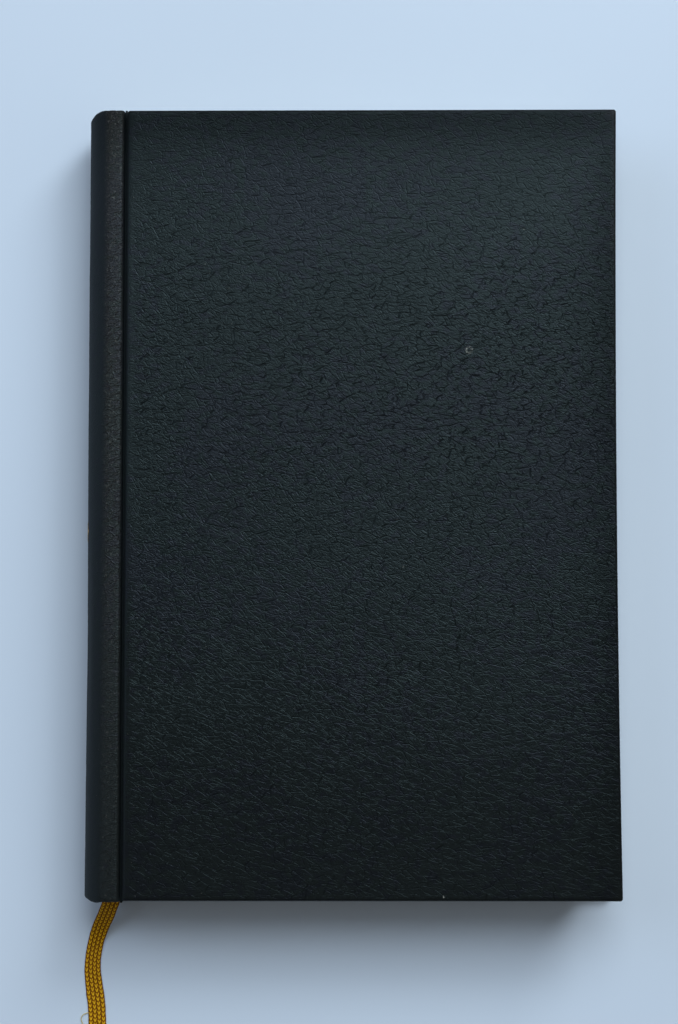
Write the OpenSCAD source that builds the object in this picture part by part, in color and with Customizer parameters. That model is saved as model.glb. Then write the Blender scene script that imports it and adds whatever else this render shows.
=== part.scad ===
// Hardback book with a rounded spine, lying on its back cover.
// X runs from the spine to the fore-edge, Y from tail to head, Z up from the table.
// The origin is under the middle of the closed book, ribbon marker apart.

/* [Pages] */
// Height of the trimmed pages
page_h = 200; // [150:1:260]
// Width of a page, from the back of the block to its fore-edge
page_w = 129.5; // [100:0.5:180]
// Thickness of the block of pages between its two flyleaves
pages_t = 17.7; // [12:0.1:30]
// How far the back of the block bulges beyond its shoulders
back_bulge = 6.3; // [5.2:0.1:7.5]
// Width of the shoulder that the boards lie against
shoulder_w = 0.85; // [0.6:0.05:1.5]
// Thickness of one endpaper
endpaper_t = 0.15; // [0.1:0.01:0.3]

/* [Case] */
// Thickness of a cover board
board_t = 2.5; // [1.5:0.1:3.5]
// How far the covers stand out past the pages
square = 3; // [2:0.1:5]
// Thickness of the leatherette
leather_t = 0.4; // [0.2:0.05:0.6]
// Width of the leatherette turned in round the boards
turn_in = 15; // [10:0.5:20]
// Rounding of the leatherette over a board's edges
edge_r = 0.7; // [0.5:0.05:1]
// Radius of a board's outer corners in plan
corner_r = 0.9; // [0.7:0.05:3]
// Clear width of the groove between a board and the spine
groove_w = 0.8; // [0.5:0.1:2]
// Gap between cover and spine leatherette in the floor of the groove
hinge_gap = 0.1; // [0.05:0.01:0.2]
// Depth of the hinge axis below a cover's outer face
hinge_inset = 0.4; // [0.3:0.05:0.6]
// Play between an opened cover and the ridge of the spine
swing_clear = 0.3; // [0.2:0.05:0.5]
// Play between a pastedown and the flyleaf under it
leaf_gap = 0.05; // [0.02:0.01:0.2]

/* [Spine] */
// Thickness of the card that stiffens the spine
inlay_t = 1; // [0.6:0.1:1.4]
// Gap of the hollow back between the card and the lining
hollow = 0.45; // [0.45:0.05:1.5]
// Radius of the ridge on the spine's side
ridge_r = 3.5; // [3:0.1:4]
// Radius of the ridge on the groove's side
lip_r = 1.3; // [0.9:0.1:1.5]
// Angle that the card stops short of the ridge
inlay_back = 0.8; // [0.5:0.1:3]
// Thickness of the gauze on the back of the pages
mull_t = 0.2; // [0.1:0.05:0.3]
// Width of the gauze glued to the inside of each board
mull_flap_w = 24; // [15:1:35]
// Distance from the gauze's ends to the page edges
mull_short = 15; // [14:1:30]
// Thickness of the paper that lines the back
lining_t = 0.2; // [0.1:0.05:0.3]
// Distance from the lining's ends to the page edges
lining_short = 3; // [1:0.5:10]
// Half of the angle that the lining spans
lining_angle = 55; // [40:1:57]
// Play round glued pieces that only lie against each other
fit = 0.05; // [0.02:0.01:0.1]

/* [Headbands] */
// Radius of the sewn bead
bead_r = 0.75; // [0.5:0.05:0.9]
// How far the bead's middle lies inside the back of the pages
bead_inset = 0.45; // [0.4:0.05:0.8]
// Length of the tape glued to the back of the pages
band_tape = 12; // [6:0.5:13]
// Half of the angle that a headband spans
band_angle = 52; // [40:1:56]

/* [Ribbon marker] */
// Width of the ribbon
ribbon_w = 4.2; // [3:0.1:5]
// Thickness of the ribbon
ribbon_t = 0.35; // [0.2:0.05:0.5]
// Distance from the groove to the ribbon, towards the spine
ribbon_in = 3.5; // [3:0.1:4]
// Height of the ribbon above the table where it leaves the pages
ribbon_z = 8; // [7:0.1:10]

/* [Foil ornament] */
// Length of the lozenge along the spine
lozenge_l = 5.7; // [3:0.1:12]
// Width of the lozenge across the spine
lozenge_w = 8; // [4:0.1:12]
// Depth that the foil is pressed into the leatherette
foil_t = 0.08; // [0.04:0.01:0.15]
// Distance from the middle of the spine to the lozenge, towards the tail
lozenge_down = 7.3; // [0:0.1:60]

/* [Hidden] */
$fn = 96;
over = 1; // how far a cutting shape runs past what it cuts

// Half heights, measured from the middle plane of the book outwards
half_pages = pages_t / 2;
half_leaf = half_pages + endpaper_t;
half_paste_in = half_leaf + leaf_gap;
half_paste = half_paste_in + endpaper_t;
half_turn = half_paste + leather_t;
half_board = half_turn + board_t;
half_book = half_board + leather_t;

// The ridge of the spine stays below a cover that lies open on it
crest_h = half_book - 2 * hinge_inset - swing_clear;
shoulder_h = crest_h - leather_t - mull_t;

// Places across the book, measured from the middle of the groove
wall_x = groove_w / 2;
board_x = wall_x + leather_t;
flank_x = -(wall_x + leather_t + fit + mull_t);
tip_x = flank_x - shoulder_w;

// The back of the pages is one arc through both shoulders
back_r = (pow(shoulder_h, 2) + pow(back_bulge, 2)) / (2 * back_bulge);
back_x = tip_x - back_bulge + back_r;
lining_r = back_r + mull_t;
hollow_r = lining_r + fit + lining_t;
inlay_r = hollow_r + hollow;
skin_r = inlay_r + inlay_t;
case_r = skin_r + leather_t;

// The ridge is a small arc that meets the big one without a kink
ridge_y = crest_h - ridge_r;
ridge_x = back_x - sqrt(pow(case_r - ridge_r, 2) - pow(ridge_y, 2));
ridge_angle = atan2(ridge_y, back_x - ridge_x);
lip_x = -wall_x - lip_r;
lip_y = crest_h - lip_r;
inlay_angle = ridge_angle - inlay_back;

// Lengths along and across the book
cover_h = page_h + 2 * square;
board_h = cover_h - 2 * leather_t;
fore_x = back_x - sqrt(pow(back_r, 2) - pow(half_pages, 2)) + page_w;
cover_x = fore_x + square;
board_end_x = cover_x - leather_t;
opening_x = cover_x - turn_in;
opening_h = cover_h - 2 * turn_in;
spine_out = case_r - back_x;
groove_x = spine_out - (spine_out + cover_x) / 2;
mull_l = page_h - 2 * mull_short;
head_roll = 2 * leather_t + inlay_t;

// Free end of the ribbon: places from where it leaves the pages, with the share of its height left
ribbon_lay = [
    [0, 0, 1], [0, -1.5, 1], [-0.1, -3.2, 0.974], [-0.5, -5, 0.885],
    [-1.2, -6.8, 0.718], [-2.1, -8.6, 0.513], [-3.1, -10.4, 0.308], [-4, -12.3, 0.141],
    [-4.9, -14.6, 0.038], [-5.6, -17.2, 0], [-6.1, -20, 0], [-6.2, -23, 0],
    [-5.9, -26, 0], [-5.5, -29, 0], [-5.1, -32, 0], [-4.9, -35, 0],
    [-4.8, -38, 0], [-4.5, -41, 0], [-3.8, -44, 0], [-2.7, -47, 0],
    [-1.1, -50, 0], [0.9, -52.6, 0], [3.3, -54.8, 0], [5.9, -56.4, 0]
];
ribbon_rest = 0.2; // height of the ribbon's middle line where it lies on the table
ribbon_route = [for (p = ribbon_lay) [
    groove_x - ribbon_in + p[0],
    p[1] - page_h / 2,
    ribbon_rest + p[2] * (ribbon_z - ribbon_rest)
]];

// Turns a section drawn across the book into a solid along the spine
module along(length) {
    translate([groove_x, 0, half_book])
        rotate([90, 0, 0])
            linear_extrude(length, center = true)
                children();
}

// Repeats a piece at the head and the tail
module both_ends() {
    children();
    mirror([0, 1, 0])
        children();
}

// Turns a front piece into the back piece of the same shape
module to_back() {
    translate([0, 0, 2 * half_book])
        mirror([0, 0, 1])
            children();
}

// Places a piece that is drawn from the groove and the middle plane
module from_groove() {
    translate([groove_x, 0, half_book])
        children();
}

// Block between two x, a length along the spine and two heights
module slab(x0, x1, length, z0, z1) {
    translate([x0, -length / 2, z0])
        cube([x1 - x0, length, z1 - z0]);
}

// Part of a disc round the back's centre, open towards the spine
module wedge(radius, angle) {
    reach = 2 * radius;
    intersection() {
        translate([back_x, 0])
            circle(radius, $fn = 180);
        polygon([
            [back_x, 0],
            [back_x - reach * cos(angle), reach * sin(angle)],
            [back_x - 2 * reach, reach * sin(angle)],
            [back_x - 2 * reach, -reach * sin(angle)],
            [back_x - reach * cos(angle), -reach * sin(angle)]
        ]);
    }
}

// Curved strip of one of the layers on the spine
module layer(inner, outer, angle) {
    difference() {
        wedge(outer, angle);
        translate([back_x, 0])
            circle(inner, $fn = 180);
    }
}

// Rectangle with four round corners
module round_rect(x0, x1, y0, y1, r) {
    translate([x0 + r, y0])
        square([x1 - x0 - 2 * r, y1 - y0]);
    translate([x0, y0 + r])
        square([x1 - x0, y1 - y0 - 2 * r]);
    for (x = [x0 + r, x1 - r], y = [y0 + r, y1 - r])
        translate([x, y])
            circle(r);
}

// Rectangle whose corners are round only at its far end in X
module fore_round(x0, x1, length, r) {
    translate([x0, -length / 2])
        square([x1 - x0 - r, length]);
    translate([x0, r - length / 2])
        square([x1 - x0, length - 2 * r]);
    for (side = [-1, 1])
        translate([x1 - r, side * (length / 2 - r)])
            circle(r);
}

// Rectangle whose corners are round only at its near end in X
module spine_round(x0, x1, length, r) {
    mirror([1, 0])
        fore_round(-x1, -x0, length, r);
}

// Outline of the spine, with both ridges, moved inwards by a thickness
module spine_outline(inset) {
    wedge_cut = -wall_x - inset;
    intersection() {
        wedge(case_r - inset, ridge_angle);
        translate([wedge_cut - 2 * case_r, -case_r])
            square(2 * case_r);
    }
    for (side = [-1, 1]) {
        translate([ridge_x, side * ridge_y])
            circle(ridge_r - inset);
        translate([lip_x, side * lip_y])
            circle(lip_r - inset);
    }
    translate([ridge_x, inset - crest_h])
        square([lip_x - ridge_x, 2 * (crest_h - inset)]);
    translate([ridge_x, -lip_y])
        square([wedge_cut - ridge_x, 2 * lip_y]);
}

// Opening of the spine at its ends, inside the turned-in leatherette
module spine_mouth() {
    wedge(case_r - head_roll, ridge_angle);
    intersection() {
        spine_outline(2 * leather_t);
        difference() {
            translate([back_x - 2 * case_r, -case_r])
                square([2 * case_r, 2 * case_r]);
            wedge(2 * case_r, inlay_angle);
        }
    }
    translate([flank_x - over, -crest_h])
        square([over + wall_x - flank_x, 2 * crest_h - over]);
}

// Lozenge seen from the spine's side
module lozenge(depth) {
    translate([groove_x - spine_out - depth, -lozenge_down, half_book])
        rotate([0, 90, 0])
            linear_extrude(2 * depth)
                polygon([[-lozenge_w / 2, 0], [0, -lozenge_l / 2], [lozenge_w / 2, 0], [0, lozenge_l / 2]]);
}

// Plate whose round corners are the shoulders, grown by a thickness
module shoulder_plate(grow) {
    r = lip_r - leather_t - mull_t + grow;
    right = flank_x + grow;
    top = shoulder_h + grow;
    translate([right - 2 * case_r, -top])
        square([2 * case_r - r, 2 * top]);
    translate([right - 2 * case_r, r - top])
        square([2 * case_r, 2 * (top - r)]);
    for (side = [-1, 1])
        translate([right - r, side * (top - r)])
            circle(r);
}

// Section of the pages: round back with shoulders, flat faces, hollow fore-edge
module pages_section() {
    intersection() {
        translate([back_x, 0])
            circle(back_r, $fn = 180);
        shoulder_plate(0);
    }
    difference() {
        translate([tip_x, -half_pages])
            square([fore_x - tip_x, pages_t]);
        translate([back_x + page_w, 0])
            circle(back_r, $fn = 180);
    }
}

module ribbon_strip() {
    translate([groove_x - ribbon_in - ribbon_w / 2, -page_h / 2, ribbon_z - ribbon_t / 2])
        cube([ribbon_w, page_h, ribbon_t]);
}

module text_block() {
    color("antiquewhite")
        difference() {
            along(page_h)
                pages_section();
            ribbon_strip();
        }
}

module flyleaf() {
    from_groove() {
        slab(flank_x + mull_t, fore_x, page_h, half_pages, half_leaf);
        slab(flank_x + mull_t, -hinge_gap / 2, page_h, half_leaf, half_paste);
    }
}

module front_flyleaf() {
    color("ivory")
        flyleaf();
}

module back_flyleaf() {
    color("ivory")
        to_back()
            flyleaf();
}

// Gauze on the back and over both shoulders
module mull() {
    color("gainsboro")
        along(mull_l)
            difference() {
                intersection() {
                    translate([back_x, 0])
                        circle(lining_r, $fn = 180);
                    shoulder_plate(mull_t);
                }
                pages_section();
            }
}

module spine_lining() {
    color("tan")
        along(page_h - 2 * lining_short)
            layer(lining_r + fit, hollow_r, lining_angle);
}

// Sewn bead on the page edges, with its tape glued to the back
module band() {
    bead_arc_r = back_r - bead_inset;
    translate([groove_x + back_x, page_h / 2 + bead_r, half_book])
        rotate([90, 0, 0])
            rotate([0, 0, 180 - band_angle])
                rotate_extrude(angle = 2 * band_angle, $fn = 180)
                    translate([bead_arc_r, 0])
                        circle(bead_r);
    translate([0, (page_h - band_tape + bead_r) / 2, 0])
        along(band_tape + bead_r)
            layer(back_r, lining_r, band_angle);
}

module headband() {
    color("goldenrod")
        band();
}

module tailband() {
    color("goldenrod")
        mirror([0, 1, 0])
            band();
}

// Stretch of the ribbon between the pages
module ribbon() {
    color("darkgoldenrod")
        ribbon_strip();
}

// One ring of the flat ribbon, square to its route
function ring(p, along_dir) =
    let (
        side = [along_dir[1], -along_dir[0], 0] / norm([along_dir[0], along_dir[1]]),
        up = cross(side, along_dir) / norm(along_dir),
        w = ribbon_w / 2,
        t = ribbon_t / 2,
        e = ribbon_t / 4
    )
    [for (c = [[w, -e], [w, e], [w - e, t], [e - w, t], [-w, e], [-w, -e], [e - w, -t], [w - e, -t]])
        p + c[0] * side + c[1] * up];

function direction(route, i) =
    i == 0 ? route[1] - route[0]
    : i == len(route) - 1 ? route[i] - route[i - 1]
    : route[i + 1] - route[i - 1];

// Free end of the ribbon, swept along its route
module ribbon_tail() {
    sides = 8;
    count = len(ribbon_route);
    rings = [for (i = [0 : count - 1]) each ring(ribbon_route[i], direction(ribbon_route, i))];
    walls = [for (i = [0 : count - 2], j = [0 : sides - 1])
        let (a = i * sides + j, b = i * sides + (j + 1) % sides)
        each [[a, b, b + sides], [a, b + sides, a + sides]]];
    start = [[for (j = [0 : sides - 1]) sides - 1 - j]];
    end = [[for (j = [0 : sides - 1]) (count - 1) * sides + j]];
    color("darkgoldenrod")
        polyhedron(rings, concat(walls, start, end));
}

// Card that stiffens the spine
module spine_inlay() {
    color("darkgray")
        intersection() {
            along(board_h)
                layer(inlay_r, skin_r, inlay_angle);
            translate([0, 0, -over])
                linear_extrude(2 * (half_book + over))
                    spine_round(groove_x - spine_out + leather_t, groove_x, board_h, head_roll - leather_t);
        }
}

// Leatherette over the spine, down both grooves and in at head and tail
module spine_covering() {
    color([0.11, 0.13, 0.14])
        difference() {
            intersection() {
                union() {
                    along(cover_h)
                        difference() {
                            spine_outline(0);
                            spine_outline(leather_t);
                            translate([-wall_x - over, -half_paste])
                                square([2 * over, 2 * half_paste]);
                        }
                    along(cover_h)
                        for (side = [-1, 1])
                            translate([-board_x, side * (half_turn + half_paste) / 2 - leather_t / 2])
                                square([board_x - hinge_gap / 2, leather_t]);
                    both_ends()
                        translate([0, (cover_h - leather_t) / 2, 0])
                            along(leather_t)
                                difference() {
                                    spine_outline(0);
                                    spine_mouth();
                                }
                    both_ends()
                        translate([0, (cover_h - turn_in) / 2, 0])
                            along(turn_in)
                                layer(case_r - head_roll, inlay_r, inlay_angle);
                }
                translate([0, 0, -over])
                    linear_extrude(2 * (half_book + over))
                        spine_round(groove_x - spine_out, groove_x, cover_h, head_roll);
            }
            spine_foil_shape();
        }
}

module spine_foil_shape() {
    intersection() {
        along(cover_h)
            layer(case_r - foil_t, case_r + over, ridge_angle);
        lozenge(lozenge_w / 4);
    }
}

// Gold foil pressed into the spine
module spine_foil() {
    color("gold")
        intersection() {
            spine_foil_shape();
            along(cover_h)
                wedge(case_r, ridge_angle);
        }
}

module board() {
    from_groove()
        translate([0, 0, half_turn])
            linear_extrude(board_t)
                fore_round(board_x, board_end_x, board_h, corner_r - leather_t);
}

module front_board() {
    color("silver")
        board();
}

module back_board() {
    color("silver")
        to_back()
            board();
}

// Leatherette round a board: face, edges, groove and turn-ins
module covering() {
    difference() {
        intersection() {
            along(cover_h) {
                round_rect(wall_x, cover_x, half_paste, half_book, edge_r);
                translate([hinge_gap / 2, half_paste])
                    square([board_x - hinge_gap / 2, leather_t]);
                translate([wall_x, half_paste])
                    square(edge_r);
            }
            translate([groove_x, 0, half_book])
                rotate([90, 0, 90])
                    linear_extrude(cover_x + over)
                        round_rect(-cover_h / 2, cover_h / 2, half_paste, half_book, edge_r);
            from_groove()
                linear_extrude(half_book + over)
                    fore_round(0, cover_x, cover_h, corner_r);
        }
        board();
        from_groove()
            slab(board_x, opening_x, opening_h, half_paste - over, half_turn);
    }
}

module front_covering() {
    color([0.11, 0.13, 0.14])
        covering();
}

module back_covering() {
    color([0.11, 0.13, 0.14])
        to_back()
            covering();
}

// Edge of the gauze glued to the inside of a board
module mull_flap() {
    from_groove()
        slab(board_x, board_x + mull_flap_w, mull_l, half_turn - mull_t, half_turn);
}

module front_mull_flap() {
    color("gainsboro")
        mull_flap();
}

module back_mull_flap() {
    color("gainsboro")
        to_back()
            mull_flap();
}

// Endpaper on the inside of a board, which shows the steps of what is under it
module pastedown() {
    t = endpaper_t;
    from_groove()
        difference() {
            union() {
                slab(hinge_gap / 2, fore_x, page_h, half_paste_in, half_paste);
                slab(board_x, opening_x, opening_h, half_paste_in, half_turn);
            }
            slab(board_x - over, board_x + mull_flap_w, mull_l, half_turn - mull_t, half_turn + over);
            difference() {
                slab(board_x + t, opening_x - t, opening_h - 2 * t, half_paste_in - over, half_turn - t);
                slab(board_x, board_x + mull_flap_w + t, mull_l + 2 * t, half_turn - mull_t - t, half_turn);
            }
        }
}

module front_pastedown() {
    color("ivory")
        pastedown();
}

module back_pastedown() {
    color("ivory")
        to_back()
            pastedown();
}

text_block();
front_flyleaf();
back_flyleaf();
mull();
spine_lining();
headband();
tailband();
ribbon();
ribbon_tail();
spine_inlay();
spine_covering();
spine_foil();
front_board();
front_covering();
front_mull_flap();
front_pastedown();
back_board();
back_covering();
back_mull_flap();
back_pastedown();
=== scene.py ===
"""Looks of a hardback book with a leatherette case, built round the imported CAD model.

Shapes are worked out in millimetres and turned into metres when a mesh is made.
Across the book, u is measured from the middle of the groove beside the spine, and h from
the middle plane of the closed book. Along the book, y runs from tail to head.
"""

import math

import bpy
import numpy as np
from mathutils import Matrix, Vector, noise


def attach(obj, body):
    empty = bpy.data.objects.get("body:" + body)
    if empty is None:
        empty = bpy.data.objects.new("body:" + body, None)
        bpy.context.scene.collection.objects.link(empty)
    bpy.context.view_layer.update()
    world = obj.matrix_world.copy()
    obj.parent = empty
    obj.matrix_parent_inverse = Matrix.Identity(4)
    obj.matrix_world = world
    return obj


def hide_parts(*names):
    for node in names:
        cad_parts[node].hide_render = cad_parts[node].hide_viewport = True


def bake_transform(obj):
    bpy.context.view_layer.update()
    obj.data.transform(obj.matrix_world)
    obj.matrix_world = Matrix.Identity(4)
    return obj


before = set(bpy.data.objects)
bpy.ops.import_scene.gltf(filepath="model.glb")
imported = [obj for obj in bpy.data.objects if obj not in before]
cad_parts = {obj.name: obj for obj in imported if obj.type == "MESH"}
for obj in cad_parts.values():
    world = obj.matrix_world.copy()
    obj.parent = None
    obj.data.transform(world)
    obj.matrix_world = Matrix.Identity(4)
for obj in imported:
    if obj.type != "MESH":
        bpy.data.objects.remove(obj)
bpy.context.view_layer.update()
MM = 0.001

# Sizes that the CAD model holds, in millimetres
GROOVE_X = -58.755
HALF_BOOK = 12.5
HALF_PAGES = 8.85
PASTE_IN = 9.05
PASTE = 9.2
TURN = 9.6
BOARD_TOP = 12.1
PAGE_H = 200.0
COVER_H = 206.0
WALL_U = 0.4
BOARD_U = 0.8
FORE_U = 125.01
COVER_U = 128.01
OPENING_U = 113.01
OPENING_H = 176.0
EDGE_R = 0.7
LEATHER_T = 0.4
BACK_R = 12.407
BACK_U = 4.207
CASE_R = 14.707
CREST_H = 11.4
LIP_R = 1.3
LIP_U = -1.7
RIDGE_R = 3.5
RIDGE_U = -3.742
RIDGE_ANGLE = 44.8
HEAD_ROLL = 1.8
SHOULDER_H = 10.8
MULL_W = 24.0
MULL_H = 170.0
BEAD_R = 0.75
BEAD_ARC_R = 11.957
BAND_ANGLE = 52.0
BLEND_U = 0.4


def smooth(edge0, edge1, value):
    """Smooth step from 0 at edge0 to 1 at edge1."""
    t = np.clip((np.asarray(value, float) - edge0) / (edge1 - edge0), 0, 1)
    return t * t * (3 - 2 * t)


def noise_at(points, size, octaves=3, seed=0.0):
    """Fractal noise of about -1 to 1 at rows of points, for features of that size."""
    shift = Vector((seed * 17.3, seed * 5.1, seed * 9.7))
    return np.array([
        noise.fractal(Vector(p) / size + shift, 1.0, 2.0, octaves) for p in np.asarray(points, float)
    ])


# Meshes
def make_piece(name, points, faces, body=None, material=None, attributes=None):
    """A mesh object from points in millimetres, in place in the frame."""
    mesh = bpy.data.meshes.new(name)
    mesh.from_pydata((np.asarray(points, float) * MM).tolist(), [], [list(map(int, f)) for f in faces])
    mesh.polygons.foreach_set("use_smooth", [True] * len(mesh.polygons))
    for key, values in (attributes or {}).items():
        values = np.asarray(values, float)
        single = values.ndim == 1
        layer = mesh.attributes.new(key, "FLOAT" if single else "FLOAT_VECTOR", "POINT")
        layer.data.foreach_set("value" if single else "vector", values.astype(np.float32).ravel())
    mesh.validate()
    mesh.update()
    piece = bpy.data.objects.new(name, mesh)
    bpy.context.scene.collection.objects.link(piece)
    if material:
        mesh.materials.append(material)
    if body:
        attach(piece, body)
    return piece


def grid_faces(rows, columns, close_columns=False, first=0):
    """Quads between rows x columns of points that are numbered row by row."""
    faces = []
    for i in range(rows - 1):
        a, b = first + i * columns, first + (i + 1) * columns
        for j in range(columns if close_columns else columns - 1):
            k = (j + 1) % columns
            faces.append((a + j, a + k, b + k, b + j))
    return faces


def tube_faces(rings, sides):
    """Faces of a tube with closed ends, whose points are numbered ring by ring."""
    last = (rings - 1) * sides
    faces = grid_faces(rings, sides, close_columns=True)
    return faces + [tuple(range(sides - 1, -1, -1)), tuple(range(last, last + sides))]


def rim_of(rows, columns):
    """Points round the edge of a grid, in order."""
    ring = list(range(columns)) + [k * columns + columns - 1 for k in range(1, rows)]
    ring += [(rows - 1) * columns + k for k in range(columns - 2, -1, -1)]
    return ring + [k * columns for k in range(rows - 2, 0, -1)]


def join_rims(ring, step, first=0):
    """Faces that close the gap between two like sheets whose points are step apart."""
    ring = [first + k for k in ring]
    return [(a, b, b + step, a + step) for a, b in zip(ring, ring[1:] + ring[:1])]


def spread_over(values, *stops):
    """Straight-line values between (place, value) stops."""
    return np.interp(values, [place for place, _ in stops], [value for _, value in stops])


def curve_through(points, spacing):
    """Evenly spaced points on a smooth curve through points."""
    p = np.asarray(points, float)
    ends = np.vstack([2 * p[0] - p[1], p, 2 * p[-1] - p[-2]])
    fine = []
    for i in range(1, len(ends) - 2):
        a, b, c, d = ends[i - 1:i + 3]
        for t in np.linspace(0, 1, 24, endpoint=False):
            fine.append(0.5 * (2 * b + (c - a) * t + (2 * a - 5 * b + 4 * c - d) * t * t
                               + (3 * b - a - 3 * c + d) * t ** 3))
    fine = np.array(fine + [p[-1]])
    run = np.concatenate([[0], np.cumsum(np.linalg.norm(np.diff(fine, axis=0), axis=1))])
    count = max(2, int(round(run[-1] / spacing)) + 1)
    at = np.linspace(0, run[-1], count)
    return np.column_stack([np.interp(at, run, fine[:, k]) for k in range(3)]), at


def tube(points, radius, sides=10):
    """Points and faces of a round tube with closed ends."""
    points = np.asarray(points, float)
    ahead = np.gradient(points, axis=0)
    ahead /= np.linalg.norm(ahead, axis=1)[:, None]
    up = np.array([0.0, 0.0, 1.0])
    rings = []
    for p, t in zip(points, ahead):
        side = np.cross(up, t)
        side /= np.linalg.norm(side)
        over = np.cross(t, side)
        for k in range(sides):
            angle = 2 * math.pi * k / sides
            rings.append(p + radius * (math.cos(angle) * side + math.sin(angle) * over))
    return np.array(rings), tube_faces(len(points), sides)


# Camera, fitted to the edges of the book in the photograph
CAMERA_AT = (0.003433, -0.053868, 0.646260)
CAMERA_TILT = 0.0816070
CAMERA_YAW = 0.00995045
CAMERA_ROLL = -0.000915177
LENS_MM = 84.586


def turned(a, b, angle):
    """Two directions at right angles, turned together in their plane."""
    return math.cos(angle) * a + math.sin(angle) * b, math.cos(angle) * b - math.sin(angle) * a


def make_camera():
    """Camera at the photograph's place, tilted, turned and rolled as fitted."""
    right = Vector((1, 0, 0))
    up = Vector((0, math.cos(CAMERA_TILT), math.sin(CAMERA_TILT)))
    ahead = Vector((0, math.sin(CAMERA_TILT), -math.cos(CAMERA_TILT)))
    right, ahead = turned(right, ahead, CAMERA_YAW)
    right, up = turned(right, up, CAMERA_ROLL)
    data = bpy.data.cameras.new("camera")
    data.lens = LENS_MM
    camera = bpy.data.objects.new("camera", data)
    bpy.context.scene.collection.objects.link(camera)
    turn = Matrix((right, up, -ahead)).transposed().to_4x4()
    camera.matrix_world = Matrix.Translation(CAMERA_AT) @ turn
    bpy.context.scene.camera = camera


make_camera()


# Materials
class Nodes:
    """Short hand for the nodes of one material."""

    def __init__(self, name):
        self.material = bpy.data.materials.new(name)
        self.material.use_nodes = True
        self.tree = self.material.node_tree
        self.shader = self.tree.nodes["Principled BSDF"]

    def add(self, kind, settings=None, **inputs):
        node = self.tree.nodes.new("ShaderNode" + kind)
        for key, value in (settings or {}).items():
            setattr(node, key, value)
        for key, value in inputs.items():
            self.put(node.inputs[key.replace("_", " ")], value)
        return node

    def put(self, socket, value):
        if isinstance(value, bpy.types.NodeSocket):
            self.tree.links.new(value, socket)
        else:
            socket.default_value = value

    def set(self, **inputs):
        for key, value in inputs.items():
            self.put(self.shader.inputs[key.replace("_", " ")], value)

    def math(self, operation, a, b=0.0, clamp=False):
        node = self.add("Math", {"operation": operation, "use_clamp": clamp})
        self.put(node.inputs[0], a)
        self.put(node.inputs[1], b)
        return node.outputs[0]

    def ramp(self, value, *stops):
        """Colour ramp of (place, grey or colour) stops."""
        node = self.add("ValToRGB", Fac=value)
        elements = node.color_ramp.elements
        while len(elements) < len(stops):
            elements.new(0.5)
        for element, (place, colour) in zip(elements, stops):
            element.position = place
            element.color = rgba(colour)
        return node.outputs["Color"]

    def mix(self, factor, a, b):
        node = self.add("Mix", {"data_type": "RGBA"})
        self.put(node.inputs[0], factor)
        self.put(node.inputs[6], a if isinstance(a, bpy.types.NodeSocket) else rgba(a))
        self.put(node.inputs[7], b if isinstance(b, bpy.types.NodeSocket) else rgba(b))
        return node.outputs[2]

    def value(self, attribute):
        """One number that the piece's mesh holds at each of its points."""
        return self.add("Attribute", {"attribute_name": attribute}).outputs["Fac"]

    def place(self, attribute, scale=(1, 1, 1), turn=0.0):
        """The piece's own coordinate in millimetres, turned in its plane and then scaled."""
        source = self.add("Attribute", {"attribute_name": attribute})
        node = self.add("Mapping", {"vector_type": "POINT"}, Vector=source.outputs["Vector"])
        node.inputs["Rotation"].default_value = (0, 0, math.radians(turn))
        second = self.add("Mapping", Vector=node.outputs[0])
        second.inputs["Scale"].default_value = scale
        return second.outputs[0]

    def object_place(self, scale=(1, 1, 1)):
        """Place on a CAD node, in millimetres times scale."""
        source = self.add("TexCoord")
        node = self.add("Mapping", Vector=source.outputs["Object"])
        node.inputs["Scale"].default_value = [s / MM for s in scale]
        return node.outputs[0]

    def noise(self, place, detail=3.0, roughness=0.5):
        return self.add(
            "TexNoise", Vector=place, Scale=1.0, Detail=detail, Roughness=roughness,
        ).outputs["Fac"]

    def cells(self, place, scale):
        """Distance to the edges of irregular cells, stretched by scale."""
        node = self.add("Mapping", Vector=place)
        node.inputs["Scale"].default_value = scale
        return self.add(
            "TexVoronoi", {"feature": "DISTANCE_TO_EDGE", "voronoi_dimensions": "2D"},
            Vector=node.outputs[0], Scale=1.0, Randomness=1.0,
        ).outputs["Distance"]

    def bump(self, height, strength, distance):
        """Normal of a relief whose full height is distance, in millimetres."""
        return self.add("Bump", Strength=strength, Distance=distance * MM, Height=height).outputs[0]


def rgba(colour):
    """Linear colour from one grey or from three screen values of 0 to 255."""
    if isinstance(colour, (int, float)):
        return (colour, colour, colour, 1)
    linear = [(v / 255 / 12.92) if v <= 10 else ((v / 255 + 0.055) / 1.055) ** 2.4 for v in colour]
    return (*linear, 1)


# Arc length on the unrolled cover minus u, on the cover's face
FACE_RUN = 2.93
# Place of the fore-edge on the unrolled cover
FACE_END = COVER_U + FACE_RUN
# Third coordinate on the covers' and the spine's sheets, so that each has its own pattern
COVER_SHEET = 40.0
SPINE_SHEET = 90.0
# Place on the front cover (u, y), radius, and 1 for a ring or 0 for a dot
SCUFFS = [
    (89.8, 39.2, 1.15, 1), (47.7, -9.7, 0.32, 0), (72.6, -17.3, 0.32, 0), (104.0, 71.0, 0.22, 0),
    (21.0, 62.0, 0.22, 0), (82.6, -101.8, 0.4, 0),
]
CREASE_DEPTH = 0.16
SURFACE_SHINE = 0.25
GRAIN_SHARE = 0.7


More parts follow.
